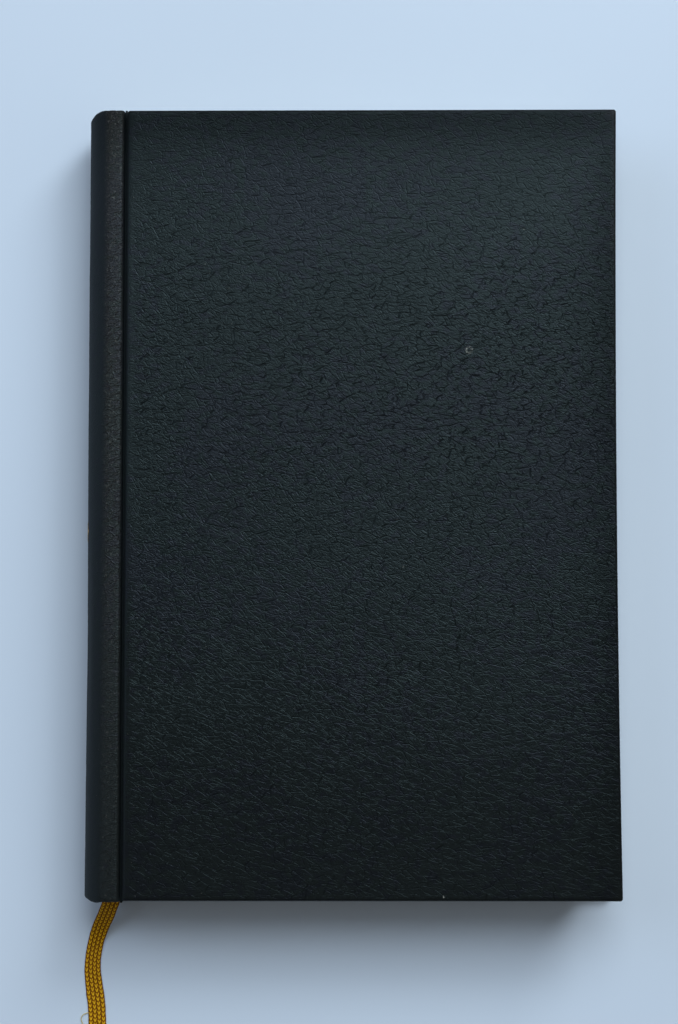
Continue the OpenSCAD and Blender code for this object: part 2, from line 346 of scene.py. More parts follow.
def leatherette():
    """Black embossed leatherette, with creases that run across and slightly down."""
    n = Nodes("leatherette")
    depth = n.value("crease")
    rub = n.value("rub")
    sheen = n.value("sheen")
    # A slow wander bends the creases so that no two run alike
    wander = n.add("TexNoise", Vector=n.place("sheet"), Scale=0.35, Detail=1.0).outputs["Color"]
    layers = []
    # Angle, stretch, width and strength of each layer of creases, and the patches it shows in
    for turn, scale, reach, share, patch in (
        (31, (0.2, 0.55, 1), 0.065, 0.95, (0.42, 0.8, 1)),
        (5, (0.32, 0.8, 1), 0.09, 0.7, (0.45, 0.7, 5)),
        (44, (0.6, 1.2, 1), 0.13, 0.4, (0.6, 0.8, 9)),
    ):
        offset = n.add("VectorMath", {"operation": "MULTIPLY_ADD"})
        n.put(offset.inputs[0], wander)
        offset.inputs[1].default_value = (0.9, 0.9, 0)
        n.put(offset.inputs[2], n.place("sheet", turn=turn))
        valley = n.ramp(n.cells(offset.outputs[0], scale), (0.0, 1.0), (reach, 0.0))
        # Creases fade in and out along their length
        part = n.ramp(n.noise(n.place("sheet", patch), 2.0), (0.4, 0.0), (0.54, share))
        layers.append(n.math("MULTIPLY", valley, part))
    valleys = n.math("MAXIMUM", n.math("MAXIMUM", layers[0], layers[1]), layers[2])
    grain = n.noise(n.place("sheet", (2.6, 3.4, 1)), 1.5, 0.6)
    sunk = n.math("MULTIPLY", valleys, depth)
    height = n.math("SUBTRACT", n.math("MULTIPLY", grain, GRAIN_SHARE), sunk)
    # The embossing is deepest above the middle and shallow at the tail
    split = n.add("SeparateXYZ", Vector=n.place("sheet", (1 / FACE_END, 1 / COVER_H, 1)))
    across = split.outputs["X"]
    length = n.math("ADD", split.outputs["Y"], 0.5)
    relief = n.ramp(
        length, (0.0, 0.18), (0.11, 0.23), (0.225, 0.32), (0.4, 0.5), (0.57, 0.7), (0.72, 0.67),
        (0.85, 0.48), (0.97, 0.36),
    )
    height = n.math("MULTIPLY", height, relief)
    bumped = n.bump(height, 1.0, CREASE_DEPTH)
    # Painted glints: pale flecks in the base colour stand in for glints on the grain
    painted_glint_flecks = n.ramp(n.noise(n.place("sheet", (2.2, 3.6, 1)), 2.0), (0.6, 0.0), (0.74, 1.0))
    # Painted light: the base colour is lighter toward the tail
    tone = n.mix(n.ramp(length, (0.0, 0.8), (0.45, 0.0)), (4, 6, 6), (13, 15, 15))
    tone = n.mix(painted_glint_flecks, tone, (13, 16, 16))
    # Greenish black with bluish patches a few millimetres wide, more of them in some parts
    broad = n.noise(n.place("sheet", (0.03, 0.03, 1)), 2.0)
    small = n.noise(n.place("sheet", (0.32, 0.42, 1)), 3.0, 0.6)
    blue = n.ramp(n.math("ADD", small, n.math("MULTIPLY", broad, 0.6)), (0.8, 0.0), (0.88, 1.0))
    tone = n.mix(n.math("MULTIPLY", blue, 0.5), tone, (6, 8, 12))
    # Painted shade: the pale wear and the paler tone of the matt parts are cut back toward the tail, so the
    # tail reads darker
    painted_tail_darkening = n.ramp(length, (0.0, 0.3), (0.35, 0.65), (0.6, 1.0))
    wear_and_painted_tail_shade = n.math("MULTIPLY", n.math("MULTIPLY", rub, painted_tail_darkening), n.ramp(grain, (0.42, 0.2), (0.6, 1.2)))
    tone = n.mix(wear_and_painted_tail_shade, tone, (46, 44, 42))
    rubbed = n.ramp(n.noise(n.place("sheet", (1.3, 0.9, 1)), 3.0, 0.6), (0.56, 0.0), (0.72, 1.5))
    tone = n.mix(n.math("MULTIPLY", wear_and_painted_tail_shade, rubbed, clamp=True), tone, (76, 77, 74))
    tone = n.mix(n.math("MULTIPLY", n.ramp(sheen, (0.2, 0.7), (0.6, 0.0)), painted_tail_darkening), tone, (22, 28, 32))
    dust = n.noise(n.place("sheet", (1.7, 1.7, 1)), 1.0)
    tone = n.mix(n.ramp(dust, (0.8, 0.0), (0.82, 1.0)), tone, (92, 92, 84))
    # Scuffs and specks that the front cover shows, each with a broken outline
    for u, y, radius, hollow in SCUFFS:
        far = n.add("VectorMath", {"operation": "DISTANCE"})
        n.put(far.inputs[0], n.place("sheet"))
        far.inputs[1].default_value = (u + FACE_RUN, y, COVER_SHEET)
        far = n.math("DIVIDE", far.outputs["Value"], radius)
        ring = n.ramp(far, (hollow * 0.3, 1 - hollow), (0.45, 1.0), (0.7, 1.0), (1.0, 0.0))
        ring = n.math("MULTIPLY", ring, n.ramp(grain, (0.5, 0.0), (0.62, 1.0)))
        tone = n.mix(ring, tone, (128, 130, 124))
    dull = n.ramp(length, (0.0, 0.06), (0.3, 0.06), (0.7, 0.09))
    rough = n.math("ADD", n.ramp(sheen, (0.0, 0.72), (1.0, 0.22)), n.math("MULTIPLY", grain, 0.08))
    n.set(Base_Color=tone, Normal=bumped, Roughness=n.math("ADD", rough, dull))
    n.shader.inputs["Specular IOR Level"].default_value = SURFACE_SHINE
    # Painted shade: the reflection's tint is darkened in the bottoms of the creases, more toward the tail,
    # and on strips along the head and the fore-edge, so these hardly shine
    shine = n.mix(blue, (208, 242, 250), (212, 234, 255))
    hollow = n.ramp(length, (0.0, 0.65), (0.3, 0.6), (0.6, 0.55), (0.8, 0.37), (1.0, 0.16))
    head = n.ramp(length, (0.83, 0.0), (0.89, 0.1), (0.93, 0.2), (0.954, 0.35), (0.976, 0.53), (0.99, 0.58))
    side = n.ramp(across, (0.77, 0.0), (0.9, 0.12), (0.952, 0.27), (0.984, 0.44))
    painted_shade = n.math("MAXIMUM", n.math("MULTIPLY", sunk, hollow), n.math("MAXIMUM", head, side))
    n.set(Specular_Tint=n.mix(painted_shade, shine, (40, 50, 54)))
    return n.material


def knitted_ribbon():
    """Gold ribbon whose colour follows the height of its stitches: painted shade in the hollows and painted
    highlights on the tops.
    """
    n = Nodes("knitted_ribbon")
    relief = n.value("relief")
    fibres = n.noise(n.place("sheet", (9, 1.6, 1)), 3.0)
    tone = n.ramp(
        relief, (0.0, (100, 60, 0)), (0.35, (154, 102, 0)), (0.7, (204, 148, 2)), (0.95, (234, 190, 40)),
    )
    tone = n.mix(n.ramp(fibres, (0.35, 0.0), (0.65, 1.0)), n.mix(0.3, tone, (70, 36, 0)), tone)
    n.set(Base_Color=tone, Roughness=0.6, Specular_IOR_Level=0.1)
    n.set(Normal=n.bump(fibres, 0.5, 0.03))
    return n.material


def paper(name, colour, shade, object_space=True):
    """Uncoated paper: faint fibres, a little mottling and a soft surface."""
    n = Nodes(name)
    if object_space:
        fine, broad = n.object_place((2.2, 0.5, 2.2)), n.object_place((0.03, 0.03, 0.03))
    else:
        fine, broad = n.place("sheet", (2.2, 0.5, 1)), n.place("sheet", (0.03, 0.03, 1))
    fibres = n.noise(fine, 4.0, 0.6)
    mottle = n.noise(broad, 3.0)
    tone = n.mix(n.ramp(fibres, (0.3, 0.0), (0.7, 1.0)), shade, colour)
    tone = n.mix(n.ramp(mottle, (0.3, 0.0), (0.7, 0.35)), tone, shade)
    n.set(Base_Color=tone, Roughness=0.85, Specular_IOR_Level=0.2, Normal=n.bump(fibres, 0.4, 0.02))
    return n.material


def leaf_edges():
    """Trimmed edges of the leaves, with shade painted darker in the gaps between them."""
    n = Nodes("leaf_edges")
    relief = n.value("relief")
    tone = n.ramp(relief, (0.0, (150, 134, 108)), (0.5, (214, 203, 180)), (1.0, (236, 228, 210)))
    age = n.noise(n.object_place((0.04, 0.04, 0.3)), 3.0)
    tone = n.mix(n.ramp(age, (0.4, 0.0), (0.7, 0.5)), tone, (205, 188, 152))
    specks = n.noise(n.object_place((0.9, 0.9, 4)), 2.0)
    tone = n.mix(n.ramp(specks, (0.72, 0.0), (0.8, 0.6)), tone, (150, 128, 92))
    fibres = n.noise(n.object_place((1.5, 1.5, 9)), 3.0)
    n.set(Base_Color=tone, Roughness=0.9, Specular_IOR_Level=0.15, Normal=n.bump(fibres, 0.5, 0.03))
    return n.material


def stitched_band():
    """Thread wound over the headbands, with shade painted darker between its turns."""
    n = Nodes("stitched_band")
    relief = n.value("relief")
    tone = n.ramp(relief, (0.0, (96, 62, 12)), (0.6, (188, 146, 60)), (1.0, (222, 190, 112)))
    threads = n.noise(n.object_place((3, 3, 3)), 3.0)
    tone = n.mix(n.ramp(threads, (0.3, 0.3), (0.7, 0.0)), tone, (120, 84, 24))
    n.set(Base_Color=tone, Roughness=0.6, Specular_IOR_Level=0.3, Normal=n.bump(threads, 0.4, 0.03))
    return n.material


def woven_gauze():
    """Open cotton weave under glue."""
    n = Nodes("woven_gauze")
    place = n.object_place((1, 1, 1))
    wave_a = n.add("TexWave", {"bands_direction": "Y"}, Vector=place, Scale=0.5, Distortion=0.6)
    wave_b = n.add("TexWave", {"bands_direction": "DIAGONAL"}, Vector=place, Scale=0.35, Distortion=0.6)
    weave = n.math("MULTIPLY", wave_a.outputs["Fac"], wave_b.outputs["Fac"])
    tone = n.mix(weave, (176, 168, 150), (226, 222, 210))
    n.set(Base_Color=tone, Roughness=0.9, Specular_IOR_Level=0.15, Normal=n.bump(weave, 0.6, 0.08))
    return n.material


def grey_board():
    """Grey board with coarse fibres and dark specks."""
    n = Nodes("grey_board")
    fibres = n.noise(n.object_place((0.8, 0.8, 2.5)), 5.0, 0.65)
    specks = n.noise(n.object_place((2, 2, 5)), 2.0)
    tone = n.mix(n.ramp(fibres, (0.3, 0.0), (0.7, 1.0)), (118, 114, 106), (158, 154, 146))
    tone = n.mix(n.ramp(specks, (0.68, 0.0), (0.74, 1.0)), tone, (86, 78, 68))
    n.set(Base_Color=tone, Roughness=0.9, Specular_IOR_Level=0.2, Normal=n.bump(fibres, 0.6, 0.06))
    return n.material


def gold_foil():
    """Blocked gold foil, thin enough to show the grain under it and rubbed through in specks."""
    n = Nodes("gold_foil")
    grain = n.noise(n.object_place((3, 4, 3)), 4.0, 0.6)
    rub = n.ramp(n.noise(n.object_place((1.4, 1.4, 1.4)), 4.0, 0.7), (0.6, 0.0), (0.68, 1.0))
    tone = n.mix(rub, (212, 168, 74), (40, 38, 32))
    n.set(Base_Color=tone, Metallic=n.math("SUBTRACT", 1.0, rub), Roughness=0.34)
    n.set(Normal=n.bump(grain, 0.7, 0.05))
    return n.material


LEATHERETTE = leatherette()
RIBBON = knitted_ribbon()

# The free end of the ribbon marker: its route follows the one in the CAD source
RIBBON_W = 4.2
RIBBON_T = 0.35
RIBBON_START = (-62.255, -100.0)
RIBBON_HEIGHT = 8.0
RIBBON_REST = 0.2
RIBBON_LAY = [
    (0, 0, 1), (-0.05, -1.5, 1), (-0.35, -3.2, 0.974), (-0.9, -5, 0.885),
    (-1.65, -6.8, 0.718), (-2.5, -8.6, 0.513), (-3.45, -10.4, 0.308), (-4.3, -12.3, 0.141),
    (-5.1, -14.6, 0.038), (-5.7, -17.2, 0), (-6.1, -20, 0), (-6.2, -23, 0),
    (-5.9, -26, 0), (-5.5, -29, 0), (-5.1, -32, 0), (-4.9, -35, 0),
    (-4.8, -38, 0), (-4.5, -41, 0), (-3.8, -44, 0), (-2.7, -47, 0),
    (-1.1, -50, 0), (0.9, -52.6, 0), (3.3, -54.8, 0), (5.9, -56.4, 0),
]
RIBBON_ROUTE = [
    (RIBBON_START[0] + dx, RIBBON_START[1] + dy, RIBBON_REST + share * (RIBBON_HEIGHT - RIBBON_REST))
    for dx, dy, share in RIBBON_LAY
]
WALES = 4
WALE_W = 1.0
STITCH = 1.17
STITCH_RELIEF = 0.1
# How much wider the ribbon is, at lengths along it
RIBBON_SWELL = [(0, 0.08), (14, 0.05), (19, -0.01), (24, -0.01), (32, 0.12), (60, 0.08)]
# The loose thread beside the ribbon: its place, radius and route
LOOP_AT = (-69.8, -134.5)
THREAD_R = 0.09
LOOP = [
    (0.4, 0.3, 0.3), (-0.3, 0.2, 0.42), (-1.1, -0.25, 0.5), (-1.55, -1.0, 0.45),
    (-1.4, -2.0, 0.35), (-0.9, -3.0, 0.3), (-0.1, -3.6, 0.3), (0.5, -3.9, 0.3),
]


def stitch_height(across, along):
    """Height from 0 to 1 of the knitted face: drop-shaped stitches in wales side by side."""
    wale = (across / WALE_W + WALES / 2) % 1.0 - 0.5
    number = np.floor(across / WALE_W + WALES / 2)
    phase = (along / STITCH + 0.37 * number) % 1.0
    # Each stitch is a loop whose legs run together and go under the next one
    legs = 0.3 * (1 - phase)
    loop = np.exp(-((np.abs(wale) - legs) / 0.15) ** 2)
    loop = loop * smooth(-0.1, 0.25, phase) * (1 - 0.6 * smooth(0.7, 1.0, phase))
    inside = np.abs(across) < WALES * WALE_W / 2
    edge = 0.18 + 0.14 * np.sin(2 * np.pi * along / STITCH)
    return np.where(inside, loop, edge)


def make_ribbon():
    """The ribbon's free end with its stitches, its middle line and its length."""
    centre, along = curve_through(RIBBON_ROUTE, 0.11)
    ahead = np.gradient(centre, axis=0)
    ahead /= np.linalg.norm(ahead, axis=1)[:, None]
    side = np.column_stack([ahead[:, 1], -ahead[:, 0], np.zeros(len(ahead))])
    side /= np.linalg.norm(side, axis=1)[:, None]
    up = np.cross(side, ahead)
    across = np.linspace(-RIBBON_W / 2, RIBBON_W / 2, 41)
    roundness = np.sqrt(np.clip(1 - np.abs(across / (RIBBON_W / 2)) ** 12, 0.12, 1))
    points, relief, sheet = [], [], []
    for i, s in enumerate(along):
        wobble = 0.03 * noise.noise(Vector((s / 1.3, 4.2, 0.5)))
        wobble += float(spread_over(s, *RIBBON_SWELL))
        for face in (1, -1):
            order, thick = across[::face], roundness[::face]
            bumps = stitch_height(order, np.full(len(order), s))
            for a, r, b in zip(order, thick, bumps):
                lift = face * (RIBBON_T / 2 * r - STITCH_RELIEF * (1 - b) * r)
                points.append(centre[i] + (a * (1 + wobble)) * side[i] + lift * up[i])
                relief.append(b)
                sheet.append((a, s, 0))
    faces = tube_faces(len(along), 2 * len(across))
    ribbon = make_piece(
        "ribbon_free_end", points, faces, "book_block", RIBBON,
        {"relief": relief, "sheet": sheet},
    )
    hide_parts("ribbon_tail")
    return ribbon, centre, float(along[-1])


def make_thread_loop():
    """A loose loop of thread at the ribbon's left edge, near the bottom of the photograph."""
    route, _ = curve_through(np.array(LOOP) + (*LOOP_AT, 0), 0.12)
    points, faces = tube(route, THREAD_R, 8)
    return make_piece("ribbon_thread_loop", points, faces, "book_block", THREAD)


THREAD = paper("loose_thread", (214, 196, 120), (190, 164, 84))
RIBBON_END, RIBBON_LINE, RIBBON_LENGTH = make_ribbon()
THREAD_LOOP = make_thread_loop()


def bend_at_groove(piece):
    """Move the sheet's placement into its mesh points; nothing is bent here."""
    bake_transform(piece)


# Leatherette over a board, in one sheet with the floor of its groove
GRID = 0.68
STRIP_STEPS = 14
OPENING_STEPS = 6
# Rounding of the groove strip's ends, where the boards' edges have EDGE_R
STRIP_END_R = 0.18


def arc(centre_u, centre_h, radius, start, stop, steps):
    """Points of an arc with their outward directions, angles in degrees."""
    rows = []
    for angle in np.radians(np.linspace(start, stop, steps + 1)):
        c, s = math.cos(angle), math.sin(angle)
        rows.append((centre_u + radius * c, centre_h + radius * s, c, s))
    return rows


def line(u0, h0, u1, h1, steps, normal):
    """Points after the first of a straight run, with its outward direction."""
    return [
        (u0 + (u1 - u0) * t, h0 + (h1 - h0) * t, *normal)
        for t in np.linspace(0, 1, steps + 1)[1:]
    ]


def cover_profile():
    """Closed outline of the cover's section: rows of u, h, outward direction and end rounding."""
    r = EDGE_R
    up, down, out, back = (0, 1), (0, -1), (1, 0), (-1, 0)
    top_steps = int(round((COVER_U - WALL_U - 2 * r) / GRID))
    fillet = 0.12
    flange = [(-BLEND_U, TURN, 0, 1)]
    flange += line(-BLEND_U, TURN, WALL_U - fillet, TURN, STRIP_STEPS, up)
    flange = [(*p, STRIP_END_R) for p in flange]
    rows = [(WALL_U, TURN + fillet, -1, 0)]
    rows += line(WALL_U, TURN + fillet, WALL_U, HALF_BOOK - r, 4, back)
    rows += arc(WALL_U + r, HALF_BOOK - r, r, 180, 90, 5)[1:]
    rows += line(WALL_U + r, HALF_BOOK, COVER_U - r, HALF_BOOK, top_steps, up)
    rows += arc(COVER_U - r, HALF_BOOK - r, r, 90, 0, 5)[1:]
    rows += line(COVER_U, HALF_BOOK - r, COVER_U, PASTE + r, 3, out)
    rows += arc(COVER_U - r, PASTE + r, r, 0, -90, 5)[1:]
    rows += line(COVER_U - r, PASTE, OPENING_U, PASTE, 12, down)
    edge = len(flange) + len(rows) - 1
    rows += line(OPENING_U, PASTE, BOARD_U, PASTE, OPENING_STEPS, down)
    rows = [(*p, r) for p in rows]
    under = line(BOARD_U, PASTE, WALL_U - fillet, PASTE, 2, down)
    under += line(WALL_U - fillet, PASTE, -BLEND_U, PASTE, STRIP_STEPS, down)
    rows += [(*p, STRIP_END_R) for p in under]
    return np.array(flange + rows), edge


DENTS = [
    # Place on the cover from its middle and from the groove, radius and depth of small knocks
    (30.5, 93.0, 0.9, 0.1),
    (-17.0, 42.0, 0.5, 0.07),
    (-24.6, 71.3, 0.4, 0.06),
    (-62.0, 12.0, 0.7, 0.05),
    (71.0, 104.0, 0.6, 0.06),
]


def cover_rows():
    """Places along the cover, with how far each section draws in at its rounded end."""
    r, edge, opening = EDGE_R, COVER_H / 2 - EDGE_R, OPENING_H / 2
    inner = np.concatenate([
        np.linspace(-edge, -opening, 22), np.linspace(-opening, opening, int(OPENING_H / GRID) + 1)[1:],
        np.linspace(opening, edge, 22)[1:],
    ])
    rounding = np.radians(np.linspace(90, 0, 6)[:-1])
    start = [(-edge - r * math.sin(a), r * (1 - math.cos(a))) for a in rounding]
    rows = start + [(y, 0.0) for y in inner] + [(-y, d) for y, d in start[::-1]]
    return np.array(rows)


def make_cover_skin(name, node, mirror):
    """Leatherette of one cover: face, edges, turn-ins, groove and its own share of the hinge."""
    profile, edge = cover_profile()
    rows = cover_rows()
    u, h, nu, nh, limit = profile.T
    run = np.concatenate([[0], np.cumsum(np.hypot(np.diff(u), np.diff(h)))])
    y, draw = rows.T
    inset = np.minimum(draw[:, None] / EDGE_R * limit[None, :], limit[None, :])
    grid_u = u[None, :] - inset * nu[None, :]
    grid_h = h[None, :] - inset * nh[None, :]
    grid_y = np.repeat(y[:, None], len(u), axis=1)
    # The ends of the groove strip bulge a little, and the fore edge is slightly hollow
    near_end = smooth(COVER_H / 2 - 2, COVER_H / 2 - EDGE_R, np.abs(grid_y))
    bulge = (0.6 - 0.6 * smooth(0.1, WALL_U, u))[None, :]
    flare = 0.6 * ((grid_y + 5) / 98) ** 2 * smooth(60, COVER_U, grid_u)
    grid_y = grid_y + np.sign(grid_y) * bulge * near_end
    grid_u = grid_u + flare
    # Low relief of the hand-covered surface, left out where the skin meets other pieces
    outer = smooth(1.0, 2.5, u)[None, :] * (nh > 0.5)[None, :] * (draw < 0.01)[:, None]
    flat = np.column_stack([grid_u.ravel(), grid_y.ravel(), np.full(grid_u.size, 3.0 * mirror)])
    on = outer.ravel() > 0
    lift = np.zeros(grid_u.size)
    waves = 0.045 * noise_at(flat[on], 26.0, 2, 1.0)
    grain = 0.03 * noise_at(flat[on] * (1, 1.6, 1), 2.4, 2, 2.0)
    lift[on] = (waves + grain) * outer.ravel()[on]
    for along, across, radius, depth in DENTS:
        far = np.hypot(flat[on, 1] - along, flat[on, 0] - across)
        lift[on] -= depth * np.exp(-((far / radius) ** 2))
    grid_h = grid_h + lift.reshape(grid_u.shape)
    count = len(u)
    points = np.column_stack([
        GROOVE_X + grid_u.ravel(), grid_y.ravel(), HALF_BOOK + mirror * grid_h.ravel(),
    ])
    sheet = np.column_stack([
        np.tile(run, len(rows)), grid_y.ravel(), np.full(grid_u.size, COVER_SHEET * mirror),
    ])
    first = int(np.argmax(y >= -OPENING_H / 2 - 1e-6))
    last = len(y) - 1 - int(np.argmax((y <= OPENING_H / 2 + 1e-6)[::-1]))
    hole = range(edge, edge + OPENING_STEPS)
    faces = [
        f for k, f in enumerate(grid_faces(len(rows), count, close_columns=True))
        if not (first <= k // count < last and k % count in hole)
    ]
    # Ends: strips where the skin bends at the hinge, and one flat face over the board
    low = [count - 1 - k for k in range(STRIP_STEPS + 1)]
    for row, flip in ((0, False), (len(rows) - 1, True)):
        base = row * count
        ends = [(base + k, base + low[k], base + low[k + 1], base + k + 1) for k in range(STRIP_STEPS)]
        rest = [base + k for k in range(STRIP_STEPS, low[STRIP_STEPS] + 1)]
        for face in (*ends, tuple(rest[::-1])):
            faces.append(face if not flip else face[::-1])
    # The pocket that the board lies in, from the rim of the opening
    left, right = edge + OPENING_STEPS, edge
    rim = [row * count + right for row in range(first, last + 1)]
    rim += [last * count + k for k in range(right + 1, left + 1)]
    rim += [row * count + left for row in range(last - 1, first - 1, -1)]
    rim += [first * count + k for k in range(left - 1, right, -1)]
    pocket = []
    board_u, board_y = (BOARD_U, COVER_U - LEATHER_T), COVER_H / 2 - LEATHER_T
    for level, grown in ((TURN, 0), (TURN, 1), (BOARD_TOP, 1)):
        for k in rim:
            pu, py = points[k, 0] - GROOVE_X, points[k, 1]
            if grown:
                share = (pu - BOARD_U) / (OPENING_U - BOARD_U)
                pu = board_u[0] + share * (board_u[1] - board_u[0])
                py = py / (OPENING_H / 2) * board_y
            pocket.append((GROOVE_X + pu, py, HALF_BOOK + mirror * level))
    n = len(rim)
    base = len(points)
    loops = [rim] + [list(range(base + k * n, base + (k + 1) * n)) for k in range(3)]
    for a, b in zip(loops, loops[1:]):
        faces += [(a[k], a[(k + 1) % n], b[(k + 1) % n], b[k]) for k in range(n)]
    faces.append(tuple(loops[-1]))
    points = np.vstack([points, pocket])
    sheet = np.vstack([sheet, np.array(pocket) * (1, 1, 0)])
    if mirror < 0:
        faces = [f[::-1] for f in faces]
    crease = np.tile(0.25 + 0.75 * smooth(1.2, 3.6, u), len(rows))
    sheen = np.tile(np.where(nh < -0.5, 0.5, 0.3 + 0.7 * smooth(0.35, 1.3, u)), len(rows))
    corner = np.exp(-np.hypot(grid_u - COVER_U, np.abs(grid_y) - COVER_H / 2) / 1.6)
    edge_wear = np.exp(-np.minimum(COVER_U - grid_u, COVER_H / 2 - np.abs(grid_y)) / 0.5)
    rub = np.clip(0.5 * corner + 0.12 * edge_wear, 0, 1).ravel()
    looks = {"crease": crease, "rub": rub, "sheen": sheen}
    looks = {key: np.append(values, np.zeros(len(pocket))) for key, values in looks.items()}
    skin = make_piece(
        name, points, faces, material=LEATHERETTE, attributes={"sheet": sheet, **looks},
    )
    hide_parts(node)
    bend_at_groove(skin)


make_cover_skin("front_leatherette", "front_covering", 1)
make_cover_skin("back_leatherette", "back_covering", -1)


# Leatherette over the spine, rolled in at head and tail, with the foil mark pressed in
LOZENGE_L = 5.7
LOZENGE_W = 8.0
LOZENGE_DOWN = 7.3
FOIL_DEPTH = 0.08


def spine_outline():
    """Outline of the spine from the front groove round to the back one: u, h, outward direction."""
    half = [(-WALL_U, PASTE, 1, 0)]
    half += line(-WALL_U, PASTE, -WALL_U, CREST_H - LIP_R, 3, (1, 0))
    half += arc(LIP_U, CREST_H - LIP_R, LIP_R, 0, 90, 7)[1:]
    half += line(LIP_U, CREST_H, RIDGE_U, CREST_H, 4, (0, 1))
    half += arc(RIDGE_U, CREST_H - RIDGE_R, RIDGE_R, 90, 180 - RIDGE_ANGLE, 7)[1:]
    main = arc(BACK_U, 0, CASE_R, 180 - RIDGE_ANGLE, 180 + RIDGE_ANGLE, 56)[1:-1]
    other = [(u, -h, du, -dh) for u, h, du, dh in half[::-1]]
    return np.array(half + main + other)


def make_spine_skin():
    """Leatherette of the spine: one sheet with its rolled ends and its inner side."""
    outline = spine_outline()
    u, h, du, dh = outline.T
    run = np.concatenate([[0], np.cumsum(np.hypot(np.diff(u), np.diff(h)))])
    run -= run[-1] / 2
    angle = np.degrees(np.arctan2(np.abs(h), BACK_U - u))
    # Depth of the roll at the ends: round the card in the middle, a plain fold at the ridges
    roll = 2 * LEATHER_T + (HEAD_ROLL - 2 * LEATHER_T) * (1 - smooth(42.0, 47.0, angle))
    half_roll = roll / 2
    far = np.abs(run)
    end_y = COVER_H / 2 + spread_over(
        far, (0, 0.1), (5, 0.1), (8, 0.55), (10.5, 0.7), (13, 0.25), (18, 0.3),
    )
    turns = np.radians(np.linspace(0, 180, 9))[1:]
    inside = np.linspace(1.0, 14.0, 9)
    wave = 0.1 * noise_at(np.column_stack([run, np.zeros_like(run), np.zeros_like(run)]), 3.0, 2, 5.0)
    end_y = end_y + wave * smooth(21, 18, np.abs(run))
    centre_y = end_y - half_roll
    inner_r = np.maximum(half_roll - LEATHER_T, 0.03)
    # Rows of outer and inner depth, outer and inner y, and place along the sheet
    head = [
        (roll, roll - LEATHER_T, centre_y - back, centre_y - back, COVER_H / 2 + 2.5 + back)
        for back in inside[::-1]
    ]
    head += [
        (half_roll * (1 - math.cos(a)), half_roll - inner_r * math.cos(a),
         centre_y + half_roll * math.sin(a), centre_y + inner_r * math.sin(a),
         COVER_H / 2 - 0.9 + 0.9 * a)
        for a in turns[::-1][1:]
    ]
    tail = [(outer, inner, -y, -inner_y, -along) for outer, inner, y, inner_y, along in head]
    face = [
        (np.zeros_like(u), np.full_like(u, LEATHER_T), t * centre_y, t * centre_y, t * (COVER_H / 2 - 0.9))
        for t in np.linspace(-1, 1, 331)
    ]
    rows = tail + face + head[::-1]
    outer_offset, inner_offset, outer_y, inner_y = (np.array([row[k] for row in rows]) for k in range(4))
    sheet_y = [row[4] for row in rows]
    count, total = len(u), len(rows)
    sheet = np.column_stack([
        np.tile(run, total), np.repeat(sheet_y, count), np.full(count * total, SPINE_SHEET),
    ])
    ridge = smooth(11.0, 13.0, np.abs(run)) * smooth(18.2, 16.5, np.abs(run))
    crease = 0.35 + 0.65 * ridge
    rub = 0.55 * ridge
    sheen = 0.24 + 0.56 * smooth(12.0, 14.5, np.abs(run)) * smooth(18.2, 16.5, np.abs(run))
    # Low relief on the outside only, none where the foil is pressed in
    shown = (outer_offset < 0.01) * smooth(LEATHER_T, 1.2, np.abs(u))[None, :]
    lift = (0.05 * noise_at(sheet, 14.0, 2, 3.0) + 0.03 * noise_at(sheet * (1.0, 2.2, 1), 2.0, 2, 4.0))
    lift = lift.reshape(total, count) * shown
    # The round of the spine is pressed in a little below its middle
    lift -= 0.24 * np.exp(-((outer_y + 38) / 30) ** 2) * smooth(9.0, 5.0, np.abs(run))[None, :] * shown
    along, across = outer_y + LOZENGE_DOWN, np.repeat(h[None, :], total, axis=0)
    inside_foil = 1 - np.abs(across) / (LOZENGE_W / 2) - np.abs(along) / (LOZENGE_L / 2)
    foil = smooth(-0.12, 0.02, inside_foil) * (outer_offset < 0.01)
    offset = outer_offset - lift * (1 - foil) + (FOIL_DEPTH + 0.04) * foil
    sets = []
    for depth, ys in ((offset, outer_y), (inner_offset, inner_y)):
        pu = u[None, :] - depth * du[None, :]
        ph = h[None, :] - depth * dh[None, :]
        sets.append(np.column_stack([GROOVE_X + pu.ravel(), ys.ravel(), HALF_BOOK + ph.ravel()]))
    points = np.vstack(sets)
    faces = grid_faces(total, count)
    half_count = count * total
    faces += [tuple(v + half_count for v in f[::-1]) for f in grid_faces(total, count)]
    faces += join_rims(rim_of(total, count)[::-1], half_count)
    skin = make_piece(
        "spine_leatherette", points, faces, "book_block", LEATHERETTE,
        {
            "sheet": np.vstack([sheet, sheet]), "crease": np.tile(crease, 2 * total),
            "rub": np.tile(rub, 2 * total), "sheen": np.tile(sheen, 2 * total),
        },
    )
    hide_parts("spine_covering")


make_spine_skin()


# Pages
LEAVES = 150
POINTS_PER_LEAF = 4
BEND_SHARE = 0.3


